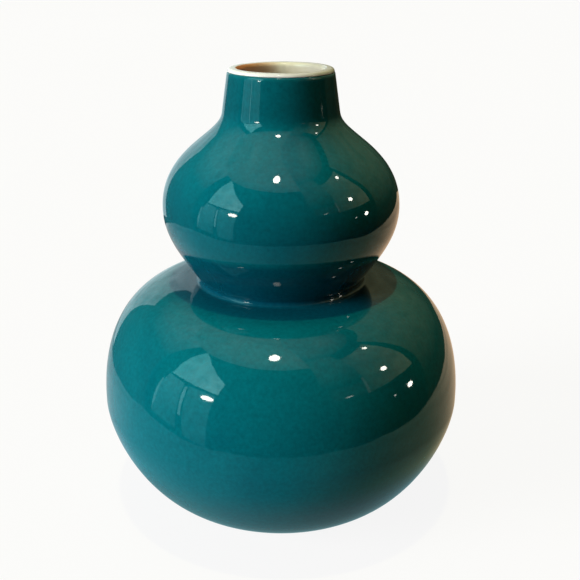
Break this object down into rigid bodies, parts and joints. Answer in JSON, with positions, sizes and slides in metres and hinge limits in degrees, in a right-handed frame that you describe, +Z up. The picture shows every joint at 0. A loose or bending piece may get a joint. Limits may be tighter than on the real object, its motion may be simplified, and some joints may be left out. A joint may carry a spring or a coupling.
{
  "type": "gourd vase",
  "caption": "Gourd vase in glazed ceramic: wide lower bulb, pinched waist, smaller upper bulb, short open neck and ring foot; glossy teal outside, cream inside.",
  "frame": {"origin": "centre of the foot ring's standing edge, on the surface that the vase stands on", "axes": "+Z up along the vase's axis; the vase is round, so +X is simply to the right and +Y away from the viewer of the picture"},
  "size_m": [0.16, 0.16, 0.1944],
  "materials": {
    "clay": "matt bisque, pale cream",
    "slip": "matt fired slip",
    "teal_glaze": "glossy deep teal glaze",
    "cream_glaze": "glossy cream white glaze"
  },
  "bodies": {
    "root": {"foot_ring": "clay", "lower_bowl": "clay", "lower_shoulder": "clay", "upper_bowl": "clay", "upper_shoulder": "clay", "neck": "clay", "foot_seam": "slip", "belly_seam": "slip", "waist_seam": "slip", "upper_belly_seam": "slip", "neck_seam": "slip", "teal_glaze": "teal_glaze", "liner_glaze": "cream_glaze", "base_glaze": "cream_glaze"}
  },
  "joints": []
}
